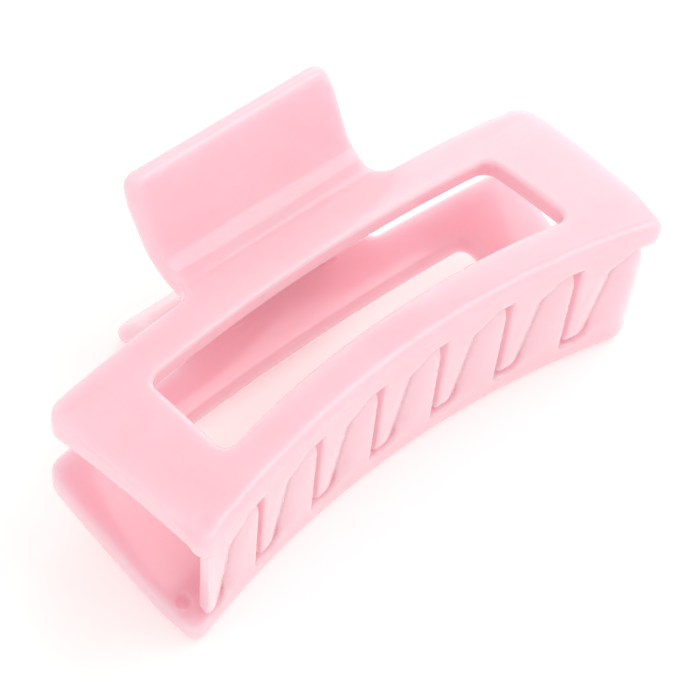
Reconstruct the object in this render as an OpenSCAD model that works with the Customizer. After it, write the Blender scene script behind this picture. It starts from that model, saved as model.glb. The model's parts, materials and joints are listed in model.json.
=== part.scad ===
// Large rectangular claw hair clip, lying closed on its lower jaw.
// X runs along the clip, Y from the toothed front to the finger grips, Z up.
// Both jaws are the same moulding: the lower one is the upper one turned over about Y.

/* [Jaw plate] */
// Length of a jaw at half its depth
clip_l = 108; // [90:1:140]
// Depth from the line between the front corners to the back corners
plate_d = 39.5; // [36:0.5:50]
// How much each end widens from the front corner to the back corner
end_flare = 3; // [0:0.5:5]
// How far the hollow front edge curves in at the middle
front_hollow = 8.2; // [4:0.2:10]
// How far the back edge bows out at the middle
back_bow = 3.6; // [1:0.2:5]
// Thickness of the plate
plate_t = 4.5; // [3:0.1:5]
// Height of the front ridge over the middle plane
ridge_h = 18.6; // [16:0.2:24]
// Height of the back edge over the middle plane
back_h = 12.1; // [11:0.1:15]
// Rise of the crowned outer face between ridge and back edge
crown = 1.1; // [0.5:0.1:2]
// Radius of the rounded front ridge
ridge_r = 2.4; // [1:0.2:4]
// Radius inside the ridge
ridge_inner_r = 1.5; // [0.5:0.1:2.5]
// Radius of the front corners, seen from above
front_corner_r = 3; // [2:0.5:7]
// Radius of the back corners, seen from above
back_corner_r = 4; // [3:0.5:9]

/* [Window] */
// Width of the rail in front of the window
front_rail = 8.5; // [7:0.1:10]
// Width of the rail behind the window
back_rail = 8.7; // [7:0.1:10]
// Width of the bar at each end of the window
end_bar = 15; // [10:0.5:20]
// Radius of the window corners
window_r = 2.5; // [1:0.1:4]

/* [Teeth] */
// Number of teeth on each jaw
tooth_count = 7; // [5:1:7]
// Distance from the row of teeth to each end of the jaw
row_end = 2.76; // [1:0.02:6]
// Distance of a tooth tip from the middle plane
tooth_reach = 12.9; // [10:0.1:13.5]
// Thickness of the toothed front wall
wall_t = 3.2; // [2.6:0.1:5]
// Sideways lean of a tooth edge for each millimetre of height
tooth_lean = 0.08; // [0.02:0.01:0.12]
// Radius of the long shoulder of a tooth tip
shoulder_r = 3.2; // [2:0.1:3.6]
// Radius of the short corner of a tooth tip
tip_r = 1; // [0.4:0.1:1.2]
// Gap along the slanting edge, where the teeth lie closest
close_gap = 0.3; // [0.2:0.05:0.6]
// Gap along the upright slot between two teeth
slot_gap = 1.4; // [0.8:0.1:2]
// Gap between a tooth tip and the bottom of the other jaw's gullet
tip_gap = 0.4; // [0.3:0.05:1]

/* [Finger grip] */
// Width of the grip at its root
grip_w = 43.2; // [30:0.2:56]
// How much the grip widens towards its tip, on each side
grip_flare = 0.9; // [0:0.1:3]
// Thickness of the grip
grip_t = 4.2; // [3:0.1:5]
// Straight run between the plate's back edge and the bend
grip_run = 0.5; // [0.2:0.1:5]
// Radius of the bend on its hollow side
grip_bend_r = 8; // [4:0.5:10]
// Angle of the raised part over the middle plane
grip_angle = 57; // [45:1:65]
// Straight length of the raised part
grip_rise = 10.6; // [8:0.1:16]
// Radius of the two corners at the tip
grip_corner_r = 3; // [2:0.5:8]
// Radius where the grip's sides run into the plate's back edge
grip_root_r = 3.5; // [2:0.5:8]

/* [Hinge] */
// Distance of the pin behind the plate's back edge at the middle
pin_back = 2.6; // [1:0.1:3]
// Diameter of the pin
pin_d = 2; // [1.6:0.1:2.6]
// Running clearance round the pin
pin_gap = 0.05; // [0.02:0.01:0.1]
// Diameter of the pin's two riveted heads
head_d = 3.2; // [2.8:0.1:4]
// Thickness of each head
head_t = 0.7; // [0.5:0.1:1]
// Outer radius of each hinge ear
ear_r = 2.8; // [2.6:0.1:4]
// Thickness of each ear
ear_t = 3; // [2:0.1:4]
// Gap between neighbouring ears, and between an ear and the spring
ear_gap = 0.3; // [0.1:0.05:0.6]

/* [Spring] */
// Diameter of the spring wire
wire_d = 1.2; // [0.8:0.1:1.5]
// Mean radius of the coil
coil_r = 2.6; // [2.2:0.1:3]
// Length of the coil along the pin
coil_l = 15.6; // [10:0.1:20]
// How far up the raised part of the grip each leg reaches
leg_reach = 7; // [3:0.5:8]
// Gap between a leg and the grip it bears on
leg_gap = 0.1; // [0.05:0.05:0.3]

/* [Hidden] */
fine = 96;
past = 20;
end_past = 2;

// Front edge: a hollow arc, and the axis about which the whole section is swept
half_l = clip_l / 2;
front_arc_r = (half_l ^ 2 + front_hollow ^ 2) / (2 * front_hollow);
front_arc_y = front_hollow - front_arc_r;
sweep_a = 2 * asin((half_l + end_flare + end_past) / front_arc_r);

// Back edge: a bowed arc
back_arc_r = (half_l ^ 2 + back_bow ^ 2) / (2 * back_bow);
back_y = plate_d + back_bow;
back_arc_y = back_y - back_arc_r;
back_s = back_y - front_hollow;

// Crowned outer face: a large circle through the ridge and the back edge
fall = ridge_h - back_h;
chord = sqrt(back_s ^ 2 + fall ^ 2);
crown_r = ((chord / 2) ^ 2 + crown ^ 2) / (2 * crown);
fall_a = atan2(fall, back_s);
crown_s = back_s / 2 - (crown_r - crown) * sin(fall_a);
crown_z = (ridge_h + back_h) / 2 - (crown_r - crown) * cos(fall_a);
back_slope = asin((back_s - crown_s) / crown_r);

// Side lines: x = side_x + side_m * y
side_m = end_flare / plate_d;
side_x = half_l - end_flare / 2;

// Teeth
tooth_pitch = (clip_l - 2 * row_end) / tooth_count;
gullet = tooth_reach + tip_gap;
first_tooth = -(tooth_count - 1) / 2;
half_pitch = tooth_pitch / 2;

// Grip profile, in (y, z)
root = [back_y, back_h];
bend_start = root + grip_run * [cos(back_slope), -sin(back_slope)];
bend_c = bend_start + grip_bend_r * [sin(back_slope), cos(back_slope)];
bend_end = bend_c + grip_bend_r * [sin(grip_angle), -cos(grip_angle)];
rise = [cos(grip_angle), sin(grip_angle)];
inward = [sin(grip_angle), -cos(grip_angle)];
tip_c = bend_end + grip_rise * rise + grip_t / 2 * inward;
flare_m = grip_flare / (tip_c[0] + grip_t / 2 - back_y);
root_overlap = 4;

// Hinge
pin_y = back_y + pin_back;
bore_r = pin_d / 2 + pin_gap;
ear_in = coil_l / 2 + ear_gap;
ear_out = ear_in + ear_t + ear_gap;
ears_end = ear_out + ear_t;
coil_slack = 0.1;
coil_out = coil_r + wire_d / 2 + coil_slack;
coil_in = coil_r - wire_d / 2 - coil_slack;
leg_x = coil_l / 2 - wire_d / 2 - coil_slack;
ear_top = back_h - plate_t / 2;
ear_rise_front = 1.6;

// Spring leg: a tangent to the coil that bears on the inner face of the raised grip, at the foot of
// that face or at the leg's own end, whichever comes first
leg_foot = bend_end + (grip_t + wire_d / 2 + leg_gap) * inward - [pin_y, 0];
leg_end = leg_foot + leg_reach * rise;
function tangent_a(p) = atan2(p[1], p[0]) + asin(coil_r / norm(p));
leg_a = min(tangent_a(leg_foot), tangent_a(leg_end));
leg_l = sqrt(norm(leg_end) ^ 2 - coil_r ^ 2);

// Centre height of a ridge fillet of radius r on the wall face at s0, t below the outer face
function fillet_z(s0, r, t = 0) = crown_z + sqrt((crown_r - t - r) ^ 2 - (s0 + r - crown_s) ^ 2);

function arc(c, r, a0, a1, n = 10) = [for (i = [0:n]) c + r * [cos(a0 + (a1 - a0) * i / n), sin(a0 + (a1 - a0) * i / n)]];

// Centre of a corner circle that touches a side line and lies reach away from an arc's centre
function corner(r, arc_y, reach) =
    let (a = side_x - r * sqrt(1 + side_m ^ 2), p = 1 + side_m ^ 2, q = a * side_m - arc_y)
    let (y = (-q + sqrt(q ^ 2 - p * (a ^ 2 + arc_y ^ 2 - reach ^ 2))) / p)
    [a + side_m * y, y];

function flip_x(points) = [for (i = [len(points) - 1:-1:0]) [-points[i][0], points[i][1]]];

// One jaw's outline from above, open past the front arc, which the swept section closes
side_a = -atan(side_m);
front_c = corner(front_corner_r, front_arc_y, front_arc_r + front_corner_r);
back_c = corner(back_corner_r, back_arc_y, back_arc_r - back_corner_r);
front_meet = atan2(front_c[1] - front_arc_y, front_c[0]);
back_meet = atan2(back_c[1] - back_arc_y, back_c[0]);
right_half = concat(
    arc(front_c, front_corner_r, front_meet - 180, side_a, 6),
    arc(back_c, back_corner_r, side_a, back_meet, 6),
    arc([0, back_arc_y], back_arc_r, back_meet, 90, 8));
plan_outline = concat(right_half, flip_x(right_half));

// Resting tilt: the line that touches the lower grip's tip and the ridge where a front corner
// starts to cut it
ridge_top_r = front_arc_r + ridge_r;
corner_reach = front_arc_r + front_corner_r;
corner_a = acos((ridge_top_r ^ 2 + corner_reach ^ 2 - front_corner_r ^ 2) / (2 * ridge_top_r * corner_reach));
touch_y = front_arc_y + ridge_top_r * sin(front_meet - corner_a);
touch_z = fillet_z(0, ridge_r);
span_y = tip_c[0] - touch_y;
drop_z = tip_c[1] - touch_z;
rest_tilt = atan2(drop_z, span_y) - asin((ridge_r - grip_t / 2) / norm([span_y, drop_z]));
floor_z = touch_y * sin(rest_tilt) - touch_z * cos(rest_tilt) - ridge_r;
front_y = (front_c[1] - front_corner_r) * cos(rest_tilt) - touch_z * sin(rest_tilt);
tail_y = tip_c[0] * cos(rest_tilt) + tip_c[1] * sin(rest_tilt) + grip_t / 2;
shift_y = -(front_y + tail_y) / 2;

// Window outline: its long sides run parallel to the front and back edges
window_x = half_l - end_bar;
wf_r = front_arc_r + front_rail;
wb_r = back_arc_r - back_rail;
wf_x = window_x - window_r;
wf_y = front_arc_y + sqrt((wf_r + window_r) ^ 2 - wf_x ^ 2);
wb_y = back_arc_y + sqrt((wb_r - window_r) ^ 2 - wf_x ^ 2);
wf_meet = atan2(wf_y - front_arc_y, wf_x);
wb_meet = atan2(wb_y - back_arc_y, wf_x);
window_half = concat(
    arc([0, front_arc_y], wf_r, 90, wf_meet, 8),
    arc([wf_x, wf_y], window_r, wf_meet - 180, 0, 5),
    arc([wf_x, wb_y], window_r, 0, wb_meet, 5),
    arc([0, back_arc_y], wb_r, wb_meet, 90, 6));
window_outline = concat(window_half, flip_x(window_half));

// Edges of a tooth that hangs down to z = -tooth_reach; its slanting edge passes x = 0 at z = 0
lean_a = atan(tooth_lean);
slant = close_gap / 2 / cos(lean_a);
slot = slot_gap / 2 / cos(lean_a);
function slant_x(z, gap) = tooth_lean * z + gap;
function slot_x(z, gap) = -half_pitch - tooth_lean * z + gap;

// Tooth tip: a short corner on the slot side, a long shoulder on the slanting side
tip_z = -tooth_reach + tip_r;
tip_x = slot_x(tip_z, slot) + tip_r / cos(lean_a);
tip_w = half_pitch - 2 * tooth_lean * tooth_reach - slot - slant;
long_r = min(shoulder_r, tip_w - tip_r);
shoulder_z = -tooth_reach + long_r;
shoulder_x = slant_x(shoulder_z, -slant) - long_r / cos(lean_a);
tooth_tip = concat(
    arc([tip_x, tip_z], tip_r, 180 + lean_a, 270, 6),
    arc([shoulder_x, shoulder_z], long_r, -90, -lean_a, 8));

// Gullet: the other jaw's tooth tip with its gaps, seen from this jaw
mouth_r = long_r + close_gap;
mouth_z = gullet - mouth_r;
mouth_x = slant_x(mouth_z, -slant) + mouth_r / cos(lean_a);
notch_r = slot_gap / 2;
notch_z = gullet - notch_r;
notch_x = half_pitch - tooth_lean * notch_z + slot - notch_r / cos(lean_a);
tooth_mouth = arc([mouth_x, mouth_z], mouth_r, 180 - lean_a, 90, 8);
tooth_gullet = concat(tooth_mouth, arc([notch_x, notch_z], notch_r, 90, lean_a, 6));

function at(points, x) = [for (p = points) [p[0] + x, p[1]]];

// What is cut away below the wall, from the left end to the right end
wall_end = half_l + end_flare;
gap_outline = concat(
    [[-wall_end, -2 * past], [-wall_end, gullet]],
    [[first_tooth * tooth_pitch + slot_x(gullet, slot), gullet]],
    [for (k = [0:tooth_count - 2]) each concat(
        at(tooth_tip, (first_tooth + k) * tooth_pitch),
        at(tooth_gullet, (first_tooth + k) * tooth_pitch))],
    at(tooth_tip, -first_tooth * tooth_pitch),
    at(tooth_mouth, -first_tooth * tooth_pitch),
    [[wall_end, gullet], [wall_end, -2 * past]]);

// Moves the closed clip from its own middle plane to where it rests on a flat surface
module rest() {
    translate([0, shift_y, -floor_z])
        rotate([rest_tilt, 0, 0])
            children();
}

// Turns a jaw over, which makes the lower jaw from the upper one
module turned_over() {
    rotate([0, 180, 0])
        children();
}

// Line of a section in (s, z): up a wall face at s0, round a fillet and along the crown at depth t
function section_line(s0, t, r) =
    let (c = [s0 + r, fillet_z(s0, r, t)], crown_c = [crown_s, crown_z])
    let (meet = atan2(c[1] - crown_z, c[0] - crown_s), end = acos((back_s + end_past - crown_s) / (crown_r - t)))
    concat([[s0, -past]], arc(c, r, 180, meet, 6), arc(crown_c, crown_r - t, meet, end, 8));

// Plate and front wall in one section, swept about the front arc's own axis
module swept_section() {
    inner_line = section_line(wall_t, plate_t, ridge_inner_r);
    translate([0, front_arc_y, 0])
        rotate([0, 0, 90 - sweep_a / 2])
            rotate_extrude(angle = sweep_a, $fn = 4 * fine)
                translate([front_arc_r, 0])
                    polygon(concat(section_line(0, 0, ridge_r),
                        [for (i = [len(inner_line) - 1:-1:0]) inner_line[i]]));
}

module plate_and_wall() {
    difference() {
        intersection() {
            swept_section();
            translate([0, 0, -past])
                linear_extrude(3 * past)
                    polygon(plan_outline);
        }
        linear_extrude(2 * past)
            polygon(window_outline);
        tooth_gaps();
    }
}

// Everything between and below the teeth, no deeper than the wall and its inner fillet
module tooth_gaps() {
    intersection() {
        rotate([90, 0, 0])
            linear_extrude(4 * past, center = true)
                polygon(gap_outline);
        translate([0, front_arc_y, -past])
            cylinder(r = front_arc_r + wall_t + ridge_inner_r, h = 3 * past, $fn = 4 * fine);
    }
}

// Side view of the grip in (y, z): a run out of the plate, a bend and the raised part, whose tip
// is round
module grip_profile() {
    start = root - root_overlap * [cos(back_slope), -sin(back_slope)];
    start_a = -90 - back_slope;
    end_a = grip_angle - 90;
    polygon(concat(
        [start],
        arc(bend_c, grip_bend_r, start_a, end_a, 8),
        arc(tip_c, grip_t / 2, end_a + 180, end_a, 8),
        arc(bend_c, grip_bend_r + grip_t, end_a, start_a, 8),
        [start - grip_t * [sin(back_slope), cos(back_slope)]]));
}

// The grip seen square to its raised part: wide everywhere but at its two rounded tip corners
module grip_face() {
    w = grip_w / 2 + grip_flare - grip_corner_r;
    l = grip_rise + grip_t / 2 - grip_corner_r;
    half = concat([[grip_w, -3 * past], [grip_w, l]], arc([w, l], grip_corner_r, 0, 90, 6));
    polygon(concat(half, flip_x(half)));
}

// Half the grip's width at y
function flared_x(y) = grip_w / 2 + flare_m * (y - back_y);

// The grip seen from above, running into the back edge on both sides
module grip_plan() {
    meet_y = back_arc_y + sqrt(back_arc_r ^ 2 - (grip_w / 2 + grip_root_r) ^ 2);
    root_y = meet_y + grip_root_r;
    meet_x = flared_x(root_y) + grip_root_r * sqrt(1 + flare_m ^ 2);
    half = concat(
        [[meet_x, meet_y - root_overlap]],
        arc([meet_x, root_y], grip_root_r, 270, 180 - atan(flare_m), 6),
        [[flared_x(meet_y + past), meet_y + past]]);
    polygon(concat(half, flip_x(half)));
}

module grip() {
    intersection() {
        rotate([90, 0, 90])
            linear_extrude(4 * past, center = true)
                grip_profile();
        translate([0, 0, -past])
            linear_extrude(4 * past)
                grip_plan();
        translate([0, bend_end[0], bend_end[1]])
            rotate([grip_angle, 0, 0])
                linear_extrude(4 * past, center = true)
                    grip_face();
    }
}

// Hinge ears on one jaw: an outer one on the left and an inner one on the right, so that a
// turned-over jaw fills the places between
module ear(x0) {
    under_y = back_y - ear_rise_front;
    translate([x0, 0, 0])
        rotate([90, 0, 90])
            linear_extrude(ear_t) {
                translate([pin_y, 0])
                    circle(ear_r, $fn = fine);
                polygon([
                    [pin_y - ear_r, 0],
                    [pin_y + ear_r, 0],
                    [pin_y + ear_r, ear_top],
                    [under_y, ear_top]]);
            }
}

module pin_bore() {
    translate([-past, pin_y, 0])
        rotate([0, 90, 0])
            cylinder(r = bore_r, h = 2 * past, $fn = fine);
}

module jaw() {
    difference() {
        union() {
            plate_and_wall();
            grip();
            ear(-ears_end);
            ear(ear_in);
        }
        pin_bore();
    }
}

// Steel rod through all four ears, with a riveted head at each end
module pin_shape() {
    rod_l = 2 * (ears_end + ear_gap);
    translate([0, pin_y, 0])
        rotate([0, 90, 0]) {
            cylinder(d = pin_d, h = rod_l, center = true, $fn = fine);
            for (side = [-1, 1])
                translate([0, 0, side * (rod_l + head_t) / 2])
                    cylinder(d = head_d, h = head_t, center = true, $fn = fine);
        }
}

// One leg, leaving the coil along a tangent
module spring_leg(x) {
    translate([x, pin_y + coil_r * sin(leg_a), -coil_r * cos(leg_a)])
        rotate([leg_a - 90, 0, 0])
            cylinder(d = wire_d, h = leg_l, $fn = 32);
}

module spring_shape() {
    translate([0, pin_y, 0])
        rotate([0, 90, 0])
            difference() {
                cylinder(r = coil_out, h = coil_l, center = true, $fn = fine);
                cylinder(r = coil_in, h = 2 * coil_l, center = true, $fn = fine);
            }
    spring_leg(leg_x);
    turned_over()
        spring_leg(leg_x);
}

module upper_jaw() {
    color("pink")
        rest()
            jaw();
}

module lower_jaw() {
    color("lightpink")
        rest()
            turned_over()
                jaw();
}

module hinge_pin() {
    color("silver")
        rest()
            pin_shape();
}

module torsion_spring() {
    color("gray")
        rest()
            spring_shape();
}

upper_jaw();
lower_jaw();
hinge_pin();
torsion_spring();
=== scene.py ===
import json
import math
import bpy
import numpy as np
from mathutils import Matrix, Vector


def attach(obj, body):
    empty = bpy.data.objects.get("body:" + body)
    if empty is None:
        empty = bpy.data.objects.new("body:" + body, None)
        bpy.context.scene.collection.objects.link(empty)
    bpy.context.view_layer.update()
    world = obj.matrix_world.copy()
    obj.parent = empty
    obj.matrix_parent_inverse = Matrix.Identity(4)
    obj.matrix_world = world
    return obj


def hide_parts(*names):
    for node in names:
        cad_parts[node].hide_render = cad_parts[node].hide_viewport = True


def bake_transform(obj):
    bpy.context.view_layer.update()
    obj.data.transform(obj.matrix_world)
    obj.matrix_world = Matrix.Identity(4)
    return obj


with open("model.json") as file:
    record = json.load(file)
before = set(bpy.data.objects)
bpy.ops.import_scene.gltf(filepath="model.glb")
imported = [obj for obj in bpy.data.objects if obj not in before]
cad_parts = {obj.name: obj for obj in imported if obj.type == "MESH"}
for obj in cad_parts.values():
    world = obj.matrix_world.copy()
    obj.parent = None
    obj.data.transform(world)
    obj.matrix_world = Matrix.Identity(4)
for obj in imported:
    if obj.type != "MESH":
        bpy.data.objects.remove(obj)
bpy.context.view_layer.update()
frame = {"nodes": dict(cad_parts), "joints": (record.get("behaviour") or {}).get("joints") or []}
hinge = frame["joints"][0]
mm = 0.001
far = 1000


def say(text):
    print("claw clip:", text)


def clearSelection():
    bpy.ops.object.select_all(action="DESELECT")


def pick(obj):
    clearSelection()
    obj.select_set(True)
    bpy.context.view_layer.objects.active = obj


def hexColour(text):
    parts = [int(text[i:i + 2], 16) / 255 for i in (0, 2, 4)]
    return [c / 12.92 if c <= 0.04045 else ((c + 0.055) / 1.055) ** 2.4 for c in parts] + [1.0]


def addNode(tree, kind, links=(), **settings):
    node = tree.nodes.new(kind)
    for name, value in settings.items():
        if name.startswith("in_"):
            key = name[3:]
            node.inputs[int(key) if key.isdigit() else key.replace("_", " ")].default_value = value
        else:
            setattr(node, name, value)
    for socket, source in links:
        tree.links.new(source, node.inputs[socket])
    return node


def newMaterial(name):
    material = bpy.data.materials.new(name)
    material.use_nodes = True
    tree = material.node_tree
    tree.nodes.clear()
    return material, tree


plastic = {
    "body": "ffcbd3",
    "deep": "ffc6ce",
    "roughness": 0.11,
    "ior": 1.49,
    "scatter": 0.010,
    "flow": 0.014,
    "orangePeel": 0.0032,
}


def milkyPlastic():
    # injection-moulded acrylic tinted milky pink: light goes a few millimetres into it, so edges glow,
    # and the polished mould leaves a gloss that is only slightly wavy
    material, tree = newMaterial("pinkMilkyAcrylic")
    place = addNode(tree, "ShaderNodeTexCoord")
    flow = addNode(tree, "ShaderNodeTexNoise", [("Vector", place.outputs["Object"])],
                   in_Scale=1 / plastic["flow"], in_Detail=3.0, in_Roughness=0.55, in_Distortion=0.8)
    tint = addNode(tree, "ShaderNodeValToRGB", [("Fac", flow.outputs["Fac"])])
    tint.color_ramp.elements[0].position = 0.25
    tint.color_ramp.elements[0].color = hexColour(plastic["deep"])
    tint.color_ramp.elements[1].position = 0.7
    tint.color_ramp.elements[1].color = hexColour(plastic["body"])
    gloss = addNode(tree, "ShaderNodeMapRange", [("Value", flow.outputs["Fac"])],
                    in_From_Min=0.3, in_From_Max=0.7, in_To_Min=plastic["roughness"] - 0.03,
                    in_To_Max=plastic["roughness"] + 0.04)
    peel = addNode(tree, "ShaderNodeTexNoise", [("Vector", place.outputs["Object"])],
                   in_Scale=1 / plastic["orangePeel"], in_Detail=2.0)
    bump = addNode(tree, "ShaderNodeBump", [("Height", peel.outputs["Fac"])],
                   in_Strength=0.12, in_Distance=0.00006)
    shader = addNode(tree, "ShaderNodeBsdfPrincipled", [
        ("Base Color", tint.outputs["Color"]),
        ("Roughness", gloss.outputs["Result"]),
        ("Normal", bump.outputs["Normal"]),
    ], in_IOR=plastic["ior"])
    shader.inputs["Subsurface Weight"].default_value = 1.0
    shader.inputs["Subsurface Radius"].default_value = (1.0, 0.6, 0.66)
    shader.inputs["Subsurface Scale"].default_value = plastic["scatter"]
    addNode(tree, "ShaderNodeOutputMaterial", [("Surface", shader.outputs["BSDF"])])
    return material


# sizes in millimetres, in the closed clip's own frame: z = 0 is the middle plane between the jaws
jaw = {
    "length": 108, "depth": 39.5, "endFlare": 3, "frontHollow": 8.2, "backBow": 3.6,
    "plate": 4.5, "ridgeHeight": 18.6, "backHeight": 12.1, "crown": 1.1,
    "ridgeRadius": 2.4, "ridgeInside": 1.5, "frontCorner": 3, "backCorner": 4, "arch": 0.9, "archDrop": 0.3,
    "rimRadius": 1.0, "windowRimRadius": 0.8, "toothRimRadius": 0.6,
    "frontRail": 8.5, "backRail": 8.7, "endBar": 15, "windowCorner": 2.5, "ridgeFade": (3, 9),
    "pitch": 14.64, "teeth": 7, "reach": 12.9, "wall": 3.2, "endTrim": 0.6,
    "hollowWidth": 4.6, "hollowDepth": 1.4, "hollowFade": (1.5, 6), "lean": 0.08,
    "shoulder": 3.2, "tip": 1.0, "closeGap": 0.1, "slotGap": 1.4, "tipGap": 0.2,
    "gripWidth": 43.2, "gripFlare": 0.9, "gripThick": 4.2, "gripRun": 0.5, "bendRadius": 8, "gripAngle": 57,
    "gripRise": 10.6, "gripCorner": 3, "gripRoot": 3.5, "gripTipRadius": 2.08,
    "gripStart": -7, "gripFull": 2, "tipFade": (-6, -2.5),
    "pinBack": 2.6, "bore": 1.05, "earRadius": 2.8, "earThick": 3, "earInner": 8.1, "earOuter": 11.4,
    "earFillet": 0.8, "earRound": 0.4, "restTilt": 6.60472, "voxel": 0.42,
    "ejectorX": 50, "ejectorY": 7.4, "ejectorRadius": 1.3, "ejectorDepth": 0.7, "ejectorEdge": 0.2,
    "sinkX": -49.8, "sinkY": 4.6, "sinkRadius": 1.8, "sinkDepth": 0.24, "sinkFade": (10, 14),
    "smoothTurns": 6, "smoothShare": 0.5, "settleTurns": 3,
}


def meetRound(a, b, r):
    # where both shapes are solid, with the outer edge between them rounded
    return np.minimum(-r, np.maximum(a, b)) + np.hypot(np.maximum(r + a, 0), np.maximum(r + b, 0))


def joinRound(a, b, r):
    # where either shape is solid, with the inner corner between them filled
    return np.maximum(r, np.minimum(a, b)) - np.hypot(np.maximum(r - a, 0), np.maximum(r - b, 0))


def ease(value, start, end):
    t = np.clip((value - start) / (end - start), 0, 1)
    return t * t * (3 - 2 * t)


def arcThrough(halfChord, rise):
    return (halfChord ** 2 + rise ** 2) / (2 * rise)


def jawLines(j):
    # centres, radii and directions that follow from the sizes
    half = j["length"] / 2
    frontR = arcThrough(half, j["frontHollow"])
    backR = arcThrough(half, j["backBow"])
    backY = j["depth"] + j["backBow"]
    backS = backY - j["frontHollow"]
    fall = j["ridgeHeight"] - j["backHeight"]
    crownR = arcThrough(math.hypot(backS, fall) / 2, j["crown"])
    fallAngle = math.atan2(fall, backS)
    crownS = backS / 2 - (crownR - j["crown"]) * math.sin(fallAngle)
    crownZ = (j["ridgeHeight"] + j["backHeight"]) / 2 - (crownR - j["crown"]) * math.cos(fallAngle)
    slope = math.asin((backS - crownS) / crownR)
    run = np.array([math.cos(slope), -math.sin(slope)])
    runNormal = np.array([math.sin(slope), math.cos(slope)])
    grip = math.radians(j["gripAngle"])
    rise = np.array([math.cos(grip), math.sin(grip)])
    riseNormal = np.array([-math.sin(grip), math.cos(grip)])
    root = np.array([backY, j["backHeight"]])
    bendStart = root + j["gripRun"] * run
    bendCentre = bendStart + j["bendRadius"] * runNormal
    bendEnd = bendCentre - j["bendRadius"] * riseNormal
    tip = bendEnd + (j["gripRise"] + j["gripThick"] / 2) * rise - j["gripThick"] / 2 * riseNormal
    return {
        "half": half, "frontR": frontR, "frontY": j["frontHollow"] - frontR,
        "backR": backR, "backArcY": backY - backR, "backY": backY,
        "crownR": crownR, "crownS": crownS, "crownZ": crownZ,
        "sideM": j["endFlare"] / j["depth"], "sideX": half - j["endFlare"] / 2,
        "run": run, "runNormal": runNormal, "rise": rise, "riseNormal": riseNormal, "root": root,
        "bendCentre": bendCentre, "bendEnd": bendEnd,
        "tipEnd": j["gripRise"] + j["gripThick"] / 2,
        "flare": j["gripFlare"] / (tip[0] - backY),
        "pinY": backY + j["pinBack"],
    }


def gripOuter(y, z, j, g):
    # signed distance from the grip's hollow face: run, bend, raised part
    p = np.stack([y, z], -1)
    fromCentre = p - g["bendCentre"]
    onRun = (p - g["root"]) @ g["runNormal"]
    onBend = j["bendRadius"] - np.hypot(fromCentre[:, 0], fromCentre[:, 1])
    onRise = (p - g["bendEnd"]) @ g["riseNormal"]
    beforeBend = (fromCentre @ g["run"]) < 0
    afterBend = (fromCentre @ g["rise"]) > 0
    below = fromCentre @ (g["runNormal"] + g["riseNormal"]) < 0
    face = np.where(beforeBend, onRun, onBend)
    return np.where(afterBend & ~(beforeBend & below), onRise, face)


def toothPattern(x, z, j):
    # negative where a tooth or the plate above it is solid, seen square to the clip's length,
    # and how deep each tooth's face is hollowed along its slanting edge
    secant = 1 / math.hypot(1, j["lean"])
    gullet = (j["reach"] + j["tipGap"]) - z
    belowTip = -j["reach"] - z
    pattern = np.full_like(x, far)
    hollow = np.zeros_like(x)
    for k in range(j["teeth"]):
        local = x - (k - (j["teeth"] - 1) / 2) * j["pitch"]
        slotSide = (-j["pitch"] / 2 - j["lean"] * z - local) * secant + j["slotGap"] / 2
        if k == 0:
            slotSide = slotSide + j["endTrim"]
        slantSide = (local - j["lean"] * z) * secant + j["closeGap"] / 2
        fromEdge = -meetRound(slantSide, belowTip, j["shoulder"])
        inTooth = (fromEdge > -1) & (slotSide < 0)
        depth = j["hollowDepth"] * np.clip(1 - fromEdge / j["hollowWidth"], 0, 1) ** 2
        hollow = np.where(inTooth, np.maximum(hollow, depth), hollow)
        slotSide = joinRound(slotSide, gullet, j["slotGap"] / 2)
        slantSide = joinRound(slantSide, gullet, j["shoulder"] + j["closeGap"])
        tooth = np.maximum(meetRound(slotSide, belowTip, j["tip"]),
                           meetRound(slantSide, belowTip, j["shoulder"]))
        pattern = np.minimum(pattern, tooth)
    return pattern, hollow * ease(gullet, *j["hollowFade"])


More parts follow.
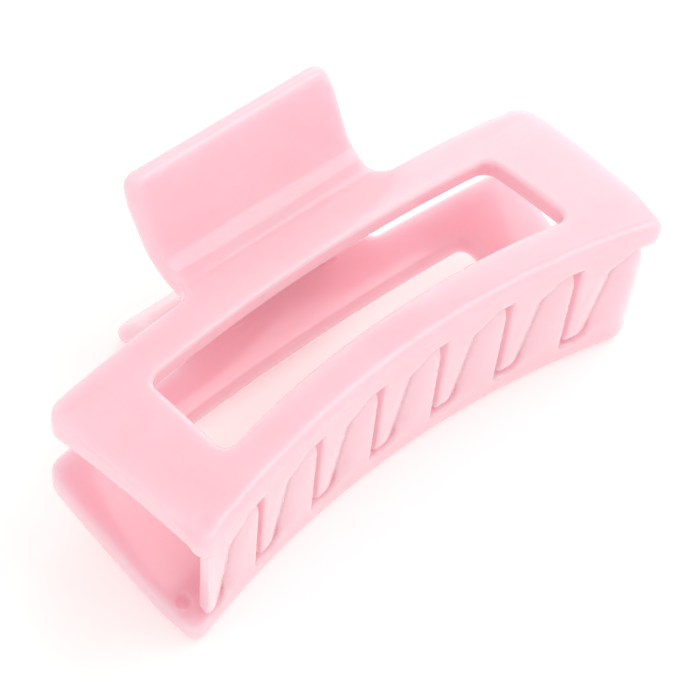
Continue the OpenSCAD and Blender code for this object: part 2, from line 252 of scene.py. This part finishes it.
def jawSurface(p, j, g):
    # signed distance, near the surface, of one jaw
    x, y, z = p[:, 0], p[:, 1], p[:, 2]
    ax = np.abs(x)
    s = np.hypot(x, y - g["frontY"]) - g["frontR"]
    behind = np.hypot(x, y - g["backArcY"]) - g["backR"]
    side = (ax - g["sideX"] - g["sideM"] * y) / math.hypot(1, g["sideM"])
    toGrip = ease(y, g["backY"] + j["gripStart"], g["backY"] + j["gripFull"])
    arch = j["arch"] * (1 - (x / g["half"]) ** 2) - j["archDrop"]
    crown = np.hypot(s - g["crownS"], z - arch - g["crownZ"]) - g["crownR"]
    outer = crown + (gripOuter(y, z, j, g) - crown) * toGrip
    thick = j["plate"] + (j["gripThick"] - j["plate"]) * toGrip
    pastTip = (np.stack([y, z], -1) - g["bendEnd"]) @ g["rise"] - g["tipEnd"]
    strip = ax - j["gripWidth"] / 2 - g["flare"] * (y - g["backY"])
    back = joinRound(behind, strip, j["gripRoot"])
    pattern, hollow = toothPattern(x, z, j)
    rim = np.maximum(meetRound(side, hollow - s, j["frontCorner"]), meetRound(back, side, j["backCorner"]))
    rim = meetRound(rim, pastTip, j["gripCorner"])
    tipRound = ease(pastTip, *j["tipFade"])
    edge = j["rimRadius"] + (j["gripTipRadius"] - j["rimRadius"]) * tipRound
    ridge = edge + (j["ridgeRadius"] - edge) * (1 - ease(s, *j["ridgeFade"]))
    # round marks of the two ejector pins on the inner face, and a shallow sink over one corner
    toPin = np.hypot(ax - j["ejectorX"], y - j["ejectorY"])
    inner, outerEdge = j["ejectorRadius"] - j["ejectorEdge"], j["ejectorRadius"] + j["ejectorEdge"]
    mark = j["ejectorDepth"] * (1 - ease(toPin, inner, outerEdge))
    toSink = np.hypot(x - j["sinkX"], y - j["sinkY"]) / j["sinkRadius"]
    sink = j["sinkDepth"] * np.clip(1 - toSink ** 2, 0, 1) * ease(z, *j["sinkFade"])
    inside = meetRound(j["wall"] - s, outer + thick - mark, j["ridgeInside"])
    shell = meetRound(meetRound(rim, outer + sink, ridge), -inside, edge)
    ears = np.maximum(np.hypot(y - g["pinY"], np.minimum(z, 0)) - j["earRadius"],
                      z - (j["backHeight"] - j["plate"] / 2))
    for middle in (-j["earOuter"] - j["earThick"] / 2, j["earInner"] + j["earThick"] / 2):
        ear = meetRound(ears, np.abs(x - middle) - j["earThick"] / 2, j["earRound"])
        shell = joinRound(shell, ear, j["earFillet"])
    shell = np.maximum(shell, j["bore"] - np.hypot(y - g["pinY"], z))
    front = j["frontRail"] - s
    rear = behind + j["backRail"]
    ends = ax - (g["half"] - j["endBar"])
    window = np.maximum(meetRound(front, ends, j["windowCorner"]), meetRound(rear, ends, j["windowCorner"]))
    shell = meetRound(shell, np.where(z > 0, -window, -far), j["windowRimRadius"])
    cut = np.minimum(pattern, j["wall"] + j["ridgeInside"] - s)
    return meetRound(shell, cut, j["toothRimRadius"])


def slide(points, surface):
    # one step of every vertex along the surface's own slope, onto the surface
    h, leastSlope, longestStep = 0.01, 0.2, 0.5
    value = surface(points)
    slope = np.empty_like(points)
    for axis in range(3):
        step = np.zeros(3)
        step[axis] = h
        slope[:, axis] = (surface(points + step) - surface(points - step)) / (2 * h)
    steep = np.maximum((slope ** 2).sum(1), leastSlope)
    move = -(value / steep)[:, None] * slope
    length = np.linalg.norm(move, axis=1, keepdims=True)
    return points + move * np.minimum(1, longestStep / np.maximum(length, 1e-9))


def relax(points, edges, amount):
    total = np.zeros_like(points)
    for axis in range(3):
        total[:, axis] += np.bincount(edges[:, 0], points[edges[:, 1], axis], len(points))
        total[:, axis] += np.bincount(edges[:, 1], points[edges[:, 0], axis], len(points))
    count = np.bincount(edges.ravel(), minlength=len(points))
    return points + amount * (total / count[:, None] - points)


def jawPlacement(j, g):
    # from the closed clip's own frame, in millimetres, to where the clip lies
    tilt = math.radians(j["restTilt"])
    pin = Vector(hinge["pos_m"]) / mm
    shift = Vector((0, pin.y - g["pinY"] * math.cos(tilt), pin.z - g["pinY"] * math.sin(tilt)))
    return Matrix.Scale(mm, 4) @ Matrix.Translation(shift) @ Matrix.Rotation(tilt, 4, "X")


def mouldJaw(j, g, place):
    mesh = frame["nodes"]["upper_jaw"].data.copy()
    obj = bpy.data.objects.new("upperJaw", mesh)
    bpy.context.scene.collection.objects.link(obj)
    mesh.transform(place.inverted())
    pick(obj)
    bpy.ops.object.mode_set(mode="EDIT")
    bpy.ops.mesh.select_all(action="SELECT")
    bpy.ops.mesh.remove_doubles(threshold=0.001)
    bpy.ops.object.mode_set(mode="OBJECT")
    remesh = obj.modifiers.new("evenGrid", "REMESH")
    remesh.mode = "VOXEL"
    remesh.voxel_size = j["voxel"]
    bpy.ops.object.modifier_apply(modifier=remesh.name)
    mesh = obj.data
    points = np.empty(len(mesh.vertices) * 3)
    mesh.vertices.foreach_get("co", points)
    points = points.reshape(-1, 3)
    edges = np.empty(len(mesh.edges) * 2, np.int64)
    mesh.edges.foreach_get("vertices", edges)
    edges = edges.reshape(-1, 2)

    def surface(q):
        return jawSurface(q, j, g)

    for turn in range(j["smoothTurns"]):
        points = relax(points, edges, j["smoothShare"])
        points = slide(points, surface)
        points = slide(points, surface)
    for turn in range(j["settleTurns"]):
        points = slide(points, surface)
    say(f"jaw mesh {len(points)} vertices, off its surface by {np.abs(surface(points)).max():.4f} mm")
    mesh.vertices.foreach_set("co", points.ravel())
    mesh.update()
    bpy.ops.object.shade_smooth()
    return obj


def makeJaws():
    g = jawLines(jaw)
    place = jawPlacement(jaw, g)
    upper = mouldJaw(jaw, g, place)
    lower = bpy.data.objects.new("lowerJaw", upper.data.copy())
    bpy.context.scene.collection.objects.link(lower)
    lower.data.transform(place @ Matrix.Rotation(math.pi, 4, "Y"))
    upper.data.transform(place)
    pink = milkyPlastic()
    for obj, node, body in ((upper, "upper_jaw", "upper_body"), (lower, "lower_jaw", "lower_body")):
        obj.data.materials.clear()
        obj.data.materials.append(pink)
        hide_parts(node)
        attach(obj, body)
    say("jaws done")


pin = {"radius": 1.0, "length": 29.4, "headRadius": 1.6, "headThick": 0.7, "headRound": 0.35}


def turnedSteel():
    # bright turned steel: fine rings left by the tool, and a slight haze where it was riveted over
    material, tree = newMaterial("turnedSteel")
    place = addNode(tree, "ShaderNodeTexCoord")
    centred = addNode(tree, "ShaderNodeMapping", [("Vector", place.outputs["Object"])],
                      in_Location=[-c for c in hinge["pos_m"]])
    rings = addNode(tree, "ShaderNodeTexWave", [("Vector", centred.outputs["Vector"])],
                    wave_type="RINGS", rings_direction="X", in_Scale=3500.0, in_Distortion=0.6,
                    in_Detail=2.0)
    haze = addNode(tree, "ShaderNodeTexNoise", [("Vector", place.outputs["Object"])],
                   in_Scale=900.0, in_Detail=4.0)
    rough = addNode(tree, "ShaderNodeMapRange", [("Value", haze.outputs["Fac"])],
                    in_From_Min=0.3, in_From_Max=0.7, in_To_Min=0.2, in_To_Max=0.34)
    bump = addNode(tree, "ShaderNodeBump", [("Height", rings.outputs["Fac"])],
                   in_Strength=0.25, in_Distance=0.00001)
    shader = addNode(tree, "ShaderNodeBsdfPrincipled", [
        ("Roughness", rough.outputs["Result"]), ("Normal", bump.outputs["Normal"])], in_Metallic=1.0)
    shader.inputs["Base Color"].default_value = hexColour("c9c8c6")
    addNode(tree, "ShaderNodeOutputMaterial", [("Surface", shader.outputs["BSDF"])])
    return material


def selectFaces(obj, wanted):
    bpy.ops.object.mode_set(mode="EDIT")
    bpy.ops.mesh.select_mode(type="FACE")
    bpy.ops.mesh.select_all(action="DESELECT")
    bpy.ops.object.mode_set(mode="OBJECT")
    for face in obj.data.polygons:
        face.select = wanted(face)
    bpy.ops.object.mode_set(mode="EDIT")


def makePin():
    clearSelection()
    bpy.ops.mesh.primitive_cylinder_add(vertices=64, radius=pin["radius"] * mm, depth=pin["length"] * mm,
                                        location=hinge["pos_m"], rotation=(0, math.pi / 2, 0))
    obj = bpy.context.object
    obj.name = "hingePin"
    bpy.ops.object.transform_apply(location=True, rotation=True, scale=True)
    wide = pin["headRadius"] / pin["radius"]
    for side in (-1, 1):
        # the rod's end spread out into a head, its rim hammered round
        selectFaces(obj, lambda face: face.normal.x * side > 0.9)
        end = (hinge["pos_m"][0] + side * pin["length"] * mm / 2, *hinge["pos_m"][1:])
        bpy.ops.mesh.extrude_region_move()
        bpy.ops.transform.resize(value=(1, wide, wide), center_override=end)
        bpy.ops.mesh.extrude_region_move(
            TRANSFORM_OT_translate={"value": (side * pin["headThick"] * mm, 0, 0)})
        bpy.ops.mesh.bevel(offset=pin["headRound"] * mm, segments=6, affect="EDGES")
        bpy.ops.object.mode_set(mode="OBJECT")
    bpy.ops.object.shade_smooth_by_angle(angle=math.radians(35))
    obj.data.materials.append(turnedSteel())
    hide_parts("hinge_pin")
    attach(obj, "lower_body")
    say("pin done")


spring = {
    "wire": 1.2, "radius": 2.6, "legSide": 7.1, "turns": 12, "legAngle": 57.2607, "legLength": 23.567,
    "stepsPerTurn": 48,
}


def drawnWire():
    # hard-drawn spring wire: dark bright steel with a mottled film of drawing soap and fine die marks
    material, tree = newMaterial("drawnSpringSteel")
    place = addNode(tree, "ShaderNodeTexCoord")
    film = addNode(tree, "ShaderNodeTexNoise", [("Vector", place.outputs["Object"])],
                   in_Scale=700.0, in_Detail=5.0, in_Roughness=0.6)
    marks = addNode(tree, "ShaderNodeTexNoise", [("Vector", place.outputs["Object"])],
                    in_Scale=9000.0, in_Detail=2.0)
    colour = addNode(tree, "ShaderNodeValToRGB", [("Fac", film.outputs["Fac"])])
    colour.color_ramp.elements[0].position = 0.35
    colour.color_ramp.elements[0].color = hexColour("a5a3a1")
    colour.color_ramp.elements[1].position = 0.65
    colour.color_ramp.elements[1].color = hexColour("c4c2bf")
    rough = addNode(tree, "ShaderNodeMapRange", [("Value", film.outputs["Fac"])],
                    in_From_Min=0.3, in_From_Max=0.7, in_To_Min=0.36, in_To_Max=0.24)
    bump = addNode(tree, "ShaderNodeBump", [("Height", marks.outputs["Fac"])],
                   in_Strength=0.3, in_Distance=0.00001)
    shader = addNode(tree, "ShaderNodeBsdfPrincipled", [
        ("Base Color", colour.outputs["Color"]), ("Roughness", rough.outputs["Result"]),
        ("Normal", bump.outputs["Normal"])], in_Metallic=1.0)
    addNode(tree, "ShaderNodeOutputMaterial", [("Surface", shader.outputs["BSDF"])])
    return material


def makeSpring():
    # one wire: lower leg, close-wound coil, upper leg
    g = jawLines(jaw)
    leg = math.radians(spring["legAngle"])
    first, last = math.pi - leg, leg + 2 * math.pi * spring["turns"]
    steps = int(spring["stepsPerTurn"] * (last - first) / (2 * math.pi))
    r, side, reach = spring["radius"], spring["legSide"], spring["legLength"]
    coil = []
    for i in range(steps + 1):
        turn = first + (last - first) * i / steps
        coil.append((side * (2 * i / steps - 1), g["pinY"] + r * math.sin(turn), -r * math.cos(turn)))
    lowerEnd = (-side, coil[0][1] + reach * math.cos(leg), coil[0][2] - reach * math.sin(leg))
    upperEnd = (side, coil[-1][1] + reach * math.cos(leg), coil[-1][2] + reach * math.sin(leg))
    line = [lowerEnd] + coil + [upperEnd]
    curve = bpy.data.curves.new("springWire", "CURVE")
    curve.dimensions = "3D"
    curve.bevel_depth = spring["wire"] / 2
    curve.bevel_resolution = 5
    curve.use_fill_caps = True
    path = curve.splines.new("POLY")
    path.points.add(len(line) - 1)
    for point, co in zip(path.points, line):
        point.co = (*co, 1)
    obj = bpy.data.objects.new("torsionSpring", curve)
    bpy.context.scene.collection.objects.link(obj)
    pick(obj)
    bpy.ops.object.convert(target="MESH")
    obj.data.transform(jawPlacement(jaw, g))
    bpy.ops.object.shade_smooth_by_angle(angle=math.radians(50))
    obj.data.materials.clear()
    obj.data.materials.append(drawnWire())
    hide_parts("torsion_spring")
    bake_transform(obj)
    say("spring done")


# metres, degrees and watts, in the frame of the clip as it lies
studio = {
    "azimuth": -44.3299, "elevation": 52.0898, "roll": 3.5213, "distance": 0.354553,
    "aim": (-0.003534, -0.012022, 0.025), "lens": 105.383, "middle": (0, 0, 0.02),
    "rightPlace": (0.52, 0.40, 0.48), "rightSize": (0.36, 0.5), "rightPower": 0.9,
    "overheadPlace": (0.30, -0.22, 0.62), "overheadSize": (0.4, 0.34), "overheadPower": 1.0,
    "lamp": "fffcf8", "backdrop": 0.87, "floorSize": 6, "floor": "ebe7e5", "floorGlow": 0.29,
}


def makeCamera():
    turn, up = math.radians(studio["azimuth"]), math.radians(studio["elevation"])
    back = Vector((math.sin(turn) * math.cos(up), -math.cos(turn) * math.cos(up), math.sin(up)))
    data = bpy.data.cameras.new("camera")
    data.lens = studio["lens"]
    data.sensor_width = 36
    data.clip_start = 0.01
    camera = bpy.data.objects.new("camera", data)
    bpy.context.scene.collection.objects.link(camera)
    camera.rotation_mode = "QUATERNION"
    camera.rotation_quaternion = (back.to_track_quat("Z", "Y").to_matrix()
                                  @ Matrix.Rotation(math.radians(studio["roll"]), 3, "Z")).to_quaternion()
    camera.location = Vector(studio["aim"]) + back * studio["distance"]
    bpy.context.scene.camera = camera


def softbox(name, place, size, power):
    data = bpy.data.lights.new(name, "AREA")
    data.shape = "RECTANGLE"
    data.size, data.size_y = size
    data.energy = power
    data.color = hexColour(studio["lamp"])[:3]
    light = bpy.data.objects.new(name, data)
    bpy.context.scene.collection.objects.link(light)
    light.location = place
    light.rotation_mode = "QUATERNION"
    light.rotation_quaternion = (Vector(place) - Vector(studio["middle"])).to_track_quat("Z", "Y")


def paleCard():
    # pale matt card that glows slightly, so the light stays even close to the clip
    material, tree = newMaterial("paleCard")
    shader = addNode(tree, "ShaderNodeBsdfPrincipled", in_Roughness=0.7)
    shader.inputs["Base Color"].default_value = hexColour(studio["floor"])
    shader.inputs["Emission Color"].default_value = hexColour("ffffff")
    shader.inputs["Emission Strength"].default_value = studio["floorGlow"]
    addNode(tree, "ShaderNodeOutputMaterial", [("Surface", shader.outputs["BSDF"])])
    return material


def makeStudio():
    world = bpy.data.worlds.new("studio")
    bpy.context.scene.world = world
    world.use_nodes = True
    backdrop = world.node_tree.nodes["Background"]
    backdrop.inputs["Color"].default_value = hexColour("ffffff")
    backdrop.inputs["Strength"].default_value = studio["backdrop"]
    softbox("rightSoftbox", studio["rightPlace"], studio["rightSize"], studio["rightPower"])
    softbox("overheadSoftbox", studio["overheadPlace"], studio["overheadSize"], studio["overheadPower"])
    clearSelection()
    bpy.ops.mesh.primitive_plane_add(size=studio["floorSize"], location=(0, 0, 0))
    floor = bpy.context.object
    floor.name = "studioFloor"
    floor.data.materials.append(paleCard())
    bpy.context.scene.view_settings.view_transform = "Standard"
    say("studio done")


makeCamera()
makeStudio()
makeJaws()
makePin()
makeSpring()
